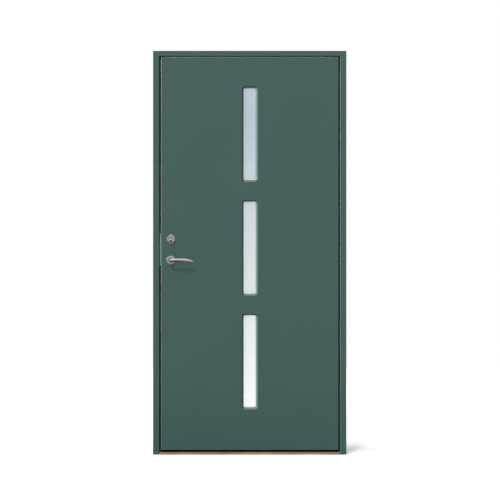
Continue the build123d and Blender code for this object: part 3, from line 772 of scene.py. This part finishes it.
def lever(name, inside):
    """Rings round the lever's path. The inner lever is the outer one in a mirror."""
    radius = NECK_RADIUS
    neck = [(0.0, stand_off, 0, radius, -radius, radius) for stand_off in NECK_STATIONS]
    rings = []
    form = bmesh.new()
    for reach, stand_off, turn, top, bottom, half in neck + smooth_rows(LEVER_PATH, PATH_STEPS):
        turn = math.radians(turn)
        # On the round neck the crest is in the middle, and it climbs as the grip begins.
        rise = min(max((reach - CREST_FROM) / CREST_CLIMB, 0.0), 1.0)
        share = 0.5 + (CREST - 0.5) * rise
        crest = top - share * (top - bottom)
        ring = []
        for step in range(LEVER_SIDES):
            angle = 2 * math.pi * step / LEVER_SIDES
            above = math.sin(angle) >= 0
            level = crest + math.sin(angle) * (top - crest if above else crest - bottom)
            out = math.cos(angle) * half
            x = HANDLE_X + reach + out * math.cos(turn)
            depth = stand_off - out * math.sin(turn)
            y = FACE_Y - depth * MM
            if inside:
                y = 2 * DOOR_MIDDLE_Y - y
            ring.append(form.verts.new((x * MM, y, (HANDLE_Z + level) * MM)))
        rings.append(ring)
    for ring, after in zip(rings, rings[1:]):
        for step in range(LEVER_SIDES):
            beside = (step + 1) % LEVER_SIDES
            form.faces.new((ring[step], ring[beside], after[beside], after[step]))
    form.faces.new(rings[0])
    form.faces.new(rings[-1])
    bmesh.ops.recalc_face_normals(form, faces=form.faces)
    for face in form.faces:
        face.smooth = len(face.verts) == 4
    return as_piece(name, form, handle_steel)


handle_steel = brushed("handle_steel", (0.66, 0.65, 0.64), 0.3, (0.06, 1.0, 1.0))
for side in ("outer", "inner"):
    grip = lever(f"lever_{side}_smooth", side == "inner")
    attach(grip, "handle")
    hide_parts(f"lever_{side}")

# Rosettes: each is a turned steel cap with a rounded rim, bored for the lever's neck. It
# covers the bolts that draw the two sides together.
ROSETTE = {"radius": 23.25, "height": 9.0, "bore": 10.05, "rim": 3.0}
CAP_FOOT, BORE_EDGE, RIM_LEAD = 0.05, 0.3, 0.4
RIM_STEPS, TURNED_SIDES = 8, 96


def rounded_cap(radius, height, bore, rim):
    """The outline of a turned ring as (radius, stand-off) pairs, from the bore's foot round."""
    outline = [(bore, CAP_FOOT), (bore, height - BORE_EDGE), (bore + BORE_EDGE, height)]
    outline.append((radius - rim - RIM_LEAD, height))
    for step in range(RIM_STEPS + 1):
        angle = math.radians(90 - 90 * step / RIM_STEPS)
        out = radius - rim + rim * math.cos(angle)
        outline.append((out, height - rim + rim * math.sin(angle)))
    outline += [(radius, height - rim - RIM_LEAD), (radius, CAP_FOOT)]
    return outline


def turned(name, outline, x, z, inside, material):
    """A closed outline spun round an axis that stands out of the leaf's face."""
    form = bmesh.new()
    rings = []
    for radius, stand_off in outline:
        y = FACE_Y - stand_off * MM
        if inside:
            y = 2 * DOOR_MIDDLE_Y - y
        ring = []
        for side in range(TURNED_SIDES):
            angle = 2 * math.pi * side / TURNED_SIDES
            across, along = x + radius * math.cos(angle), z + radius * math.sin(angle)
            ring.append(form.verts.new((across * MM, y, along * MM)))
        rings.append(ring)
    join_lines(form, rings)
    return as_piece(name, form, material)


rosette_steel = brushed("rosette_steel", (0.68, 0.66, 0.66), 0.3, EVEN)
for side in ("outer", "inner"):
    cap = turned(
        f"{side}_rosette_turned",
        rounded_cap(**ROSETTE),
        HANDLE_X,
        HANDLE_Z,
        side == "inner",
        rosette_steel,
    )
    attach(cap, "leaf")
    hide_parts(f"{side}_rosette")

# Lock cylinder: a ring with a rounded rim stands round the cylinder's face, notched where
# the raised collar of the key's plug breaks through it. Inside, a thumbturn does the same.
CYLINDER_X, RING_Z, PLUG_Z = -405.5, 1110.0, 1097.5
RING = {"radius": 21.5, "height": 10.0, "bore": 18.0, "rim": 2.6}
COLLAR_GAP, NOTCH_CORE, NOTCH_FROM, NOTCH_TO = 12.05, 0.001, -5.0, 20.0
FITTING_ARRIS, PLUG_ARRIS = 0.5 * MM, 0.25 * MM
blank = turned("ring_blank", rounded_cap(**RING), CYLINDER_X, RING_Z, False, rosette_steel)
notch_outline = [
    (NOTCH_CORE, NOTCH_FROM),
    (COLLAR_GAP, NOTCH_FROM),
    (COLLAR_GAP, NOTCH_TO),
    (NOTCH_CORE, NOTCH_TO),
]
notch = turned("ring_notch", notch_outline, CYLINDER_X, PLUG_Z, False, rosette_steel)
cut = blank.modifiers.new("notch", "BOOLEAN")
cut.operation = "DIFFERENCE"
cut.solver = "EXACT"
cut.object = notch
graph = bpy.context.evaluated_depsgraph_get()
notched_mesh = bpy.data.meshes.new_from_object(blank.evaluated_get(graph))
for piece in (blank, notch):
    bpy.data.objects.remove(piece)
ring = bpy.data.objects.new("cylinder_ring_turned", notched_mesh)
bpy.context.collection.objects.link(ring)
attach(ring, "leaf")
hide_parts("cylinder_ring")
for fitting in ("cylinder_body", "turn_rosette", "thumbturn"):
    finished(fitting, rosette_steel, FITTING_ARRIS, 3)
# The plug is given a dark metal, a painted shade so that its face reads as the shaded keyway.
plug_keyway_shade_metal = brushed("plug_dark_painted_shade", (0.16, 0.14, 0.13), 0.36, EVEN)
plug = finished("cylinder_plug", plug_keyway_shade_metal, PLUG_ARRIS)
# Its hidden shoulder is drawn a little shorter, to stay clear of the lock case at every turn.
SHOULDER_GAP, SHORTER, NEARLY = 0.5 * MM, 0.7 * MM, 0.1 * MM
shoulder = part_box("lock_case")[0][1] - SHOULDER_GAP
for vertex in plug.data.vertices:
    if abs(vertex.co.y - shoulder) < NEARLY:
        vertex.co.y -= SHORTER

# Floor: pale and plain. To the eye it is white and keeps the door's shadow, and the light
# that it throws back on the door is that of a light grey floor.
FLOOR_HALF, FLOOR_BOUNCE, FLOOR_SEEN = 7.0, 0.36, 0.75
floor_mesh = bpy.data.meshes.new("floor")
floor_mesh.from_pydata(
    [(x * FLOOR_HALF, y * FLOOR_HALF, 0) for x, y in ((-1, -1), (1, -1), (1, 1), (-1, 1))],
    [],
    [(0, 1, 2, 3)],
)
floor = bpy.data.objects.new("floor", floor_mesh)
bpy.context.collection.objects.link(floor)
floor_material, floor_tree, floor_shader, _ = new_material("floor_white")


def seen_directly(tree):
    """1 for what the camera, a mirror or a pane shows, 0 for light that is thrown back."""
    ray = tree.nodes.new("ShaderNodeLightPath")
    shares = [ray.outputs[f"Is {kind} Ray"] for kind in ("Camera", "Glossy", "Transmission")]
    total = shares[0]
    for share in shares[1:]:
        larger = tree.nodes.new("ShaderNodeMath")
        larger.operation = "MAXIMUM"
        tree.links.new(total, larger.inputs[0])
        tree.links.new(share, larger.inputs[1])
        total = larger.outputs[0]
    return total


floor_tone = ramp(
    floor_tree,
    seen_directly(floor_tree),
    [(0.0, (FLOOR_BOUNCE,) * 3), (1.0, (FLOOR_SEEN,) * 3)],
)
floor_tree.links.new(floor_tone, floor_shader.inputs["Base Color"])
floor_shader.inputs["Roughness"].default_value = 0.9
floor_shader.inputs["Specular IOR Level"].default_value = 0.0
floor_mesh.materials.append(floor_material)

# Studio cards: grey cards that show only as a mirror image, in metal and in glossy paint.
# Low all round and dark on the floor near the door, they give the steel its dark undersides.
CARD_RADIUS, CARD_TOP, CARD_SIDES = 13.0, 9.0, 48
NEAR_RADIUS, CARD_LIFT, FRAME_GAP = 2.6, 0.002, 4 * MM
CARD_TONES = {"near": 0.1, "far": 0.36, "top": 1.0, "side": 1.1}
SIDE_CARD_X, SIDE_CARD_Y, SIDE_CARD_Z = -6.0, (-5.0, -0.6), (0.4, 6.0)
frame_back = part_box("head")[1][1]


def card(name, points, faces, stops):
    """A glowing sheet that no camera, shadow or pane shows. Its tone goes by height."""
    mesh = bpy.data.meshes.new(name)
    mesh.from_pydata(points, [], faces)
    item = bpy.data.objects.new(name, mesh)
    bpy.context.collection.objects.link(item)
    material, tree, shader, coordinates = new_material(name)
    height = tree.nodes.new("ShaderNodeSeparateXYZ")
    tree.links.new(coordinates, height.inputs[0])
    share = tree.nodes.new("ShaderNodeMapRange")
    share.inputs["From Max"].default_value = CARD_TOP
    tree.links.new(height.outputs["Z"], share.inputs["Value"])
    tone = ramp(tree, share.outputs[0], [(place, (grey,) * 3) for place, grey in stops])
    tree.links.new(tone, shader.inputs["Emission Color"])
    shader.inputs["Emission Strength"].default_value = 1.0
    shader.inputs["Base Color"].default_value = (0, 0, 0, 1)
    shader.inputs["Specular IOR Level"].default_value = 0.0
    mesh.materials.append(material)
    item.visible_camera = item.visible_diffuse = item.visible_transmission = False
    item.visible_shadow = item.visible_volume_scatter = False


def circle(radius, height):
    turns = [2 * math.pi * side / CARD_SIDES for side in range(CARD_SIDES)]
    return [(radius * math.cos(turn), radius * math.sin(turn), height) for turn in turns]


def foot_line():
    """As many points round the frame's own foot, on a rectangle just outside it."""
    half_wide, half_deep = cad_high[0] + FRAME_GAP, (frame_back - FACE_Y) / 2 + FRAME_GAP
    line = []
    for x, y, z in circle(1.0, CARD_LIFT):
        reach = min(half_wide / max(abs(x), 1e-6), half_deep / max(abs(y), 1e-6))
        line.append((x * reach, y * reach + (FACE_Y + frame_back) / 2, z))
    return line


def band(first, second):
    """Faces between two circles of points."""
    result = []
    for side in range(CARD_SIDES):
        after = (side + 1) % CARD_SIDES
        result.append((first + side, first + after, second + after, second + side))
    return result


def even_tone(which):
    return [(0.0, CARD_TONES[which]), (1.0, CARD_TONES[which])]


card(
    "studio_card_round",
    circle(CARD_RADIUS, 0.0) + circle(CARD_RADIUS, CARD_TOP),
    band(0, CARD_SIDES),
    [(0.35, CARD_TONES["far"]), (1.0, CARD_TONES["top"])],
)
card(
    "studio_card_far_floor",
    circle(NEAR_RADIUS, CARD_LIFT) + circle(CARD_RADIUS, CARD_LIFT),
    band(0, CARD_SIDES),
    even_tone("far"),
)
card(
    "studio_card_near_floor",
    foot_line() + circle(NEAR_RADIUS, CARD_LIFT),
    band(0, CARD_SIDES),
    even_tone("near"),
)
side_corners = [(y, SIDE_CARD_Z[0]) for y in SIDE_CARD_Y]
side_corners += [(y, SIDE_CARD_Z[1]) for y in reversed(SIDE_CARD_Y)]
card(
    "studio_card_side",
    [(SIDE_CARD_X, y, z) for y, z in side_corners],
    [(0, 1, 2, 3)],
    even_tone("side"),
)

# Light: an even sky, two broad banks of lamps far off that graze the door from the left and
# from above, one soft lamp for the handle's shadow, and a weak one behind.
SKY = 0.18
LOOK_AT = (0.0, FACE_Y, 1.05)
LAMPS_OUT = FACE_Y - 20.0
world = bpy.data.worlds.new("sky")
bpy.context.scene.world = world
world.use_nodes = True
sky_tree = world.node_tree
sky = sky_tree.nodes["Background"]
sky.inputs["Color"].default_value = (1, 1, 1, 1)
level = sky_tree.nodes.new("ShaderNodeMapRange")
level.inputs["To Min"].default_value = SKY
level.inputs["To Max"].default_value = 1.0
sky_tree.links.new(seen_directly(sky_tree), level.inputs["Value"])
sky_tree.links.new(level.outputs[0], sky.inputs["Strength"])


def aim(lamp, toward):
    lamp.rotation_mode = "QUATERNION"
    lamp.rotation_quaternion = Vector(toward).to_track_quat("-Z", "Y")
    bpy.context.collection.objects.link(lamp)
    return lamp


def sun(name, toward, share, spread_degrees):
    """Parallel light along a direction. A share of 1 shows a surface across it as written."""
    data = bpy.data.lights.new(name, "SUN")
    data.energy = share * math.pi
    data.angle = math.radians(spread_degrees)
    return aim(bpy.data.objects.new(name, data), toward)


def bank(name, place, width, height, share):
    """A broad lamp that looks at the middle of the door, with the same meaning of share."""
    data = bpy.data.lights.new(name, "AREA")
    data.shape = "RECTANGLE"
    data.size, data.size_y = width, height
    toward = Vector(LOOK_AT) - Vector(place)
    data.energy = share * math.pi * math.pi * toward.length**2
    lamp = bpy.data.objects.new(name, data)
    aim(lamp, toward).location = place
    return lamp


banks = [
    bank("bank_left", (-78.0, LAMPS_OUT, 14.0), 16.0, 38.0, 1.45),
    bank("bank_top", (-6.0, LAMPS_OUT, 80.0), 38.0, 16.0, 0.75),
]
key = sun("key", (0.2, 0.72, -0.7), 0.5, 9.0)
sun("behind", (-0.3, -1.0, -0.8), 0.6, 30.0)
key.visible_glossy = False

# The two banks graze the leaf, and neither shades it with the small fittings nor shines on
# them: polished steel shows the sky and the cards instead, as it does in a light tent.
polished = bpy.data.collections.new("polished_fittings")
for fitting in (
    "lever_outer_smooth",
    "lever_inner_smooth",
    "outer_rosette_turned",
    "inner_rosette_turned",
    "turn_rosette_finished",
    "thumbturn_finished",
    "cylinder_ring_turned",
    "cylinder_body_finished",
    "cylinder_plug_finished",
):
    polished.objects.link(bpy.data.objects[fitting])
for member in polished.collection_objects:
    member.light_linking.link_state = "EXCLUDE"
for lamp in banks:
    lamp.light_linking.blocker_collection = polished
    lamp.light_linking.receiver_collection = polished
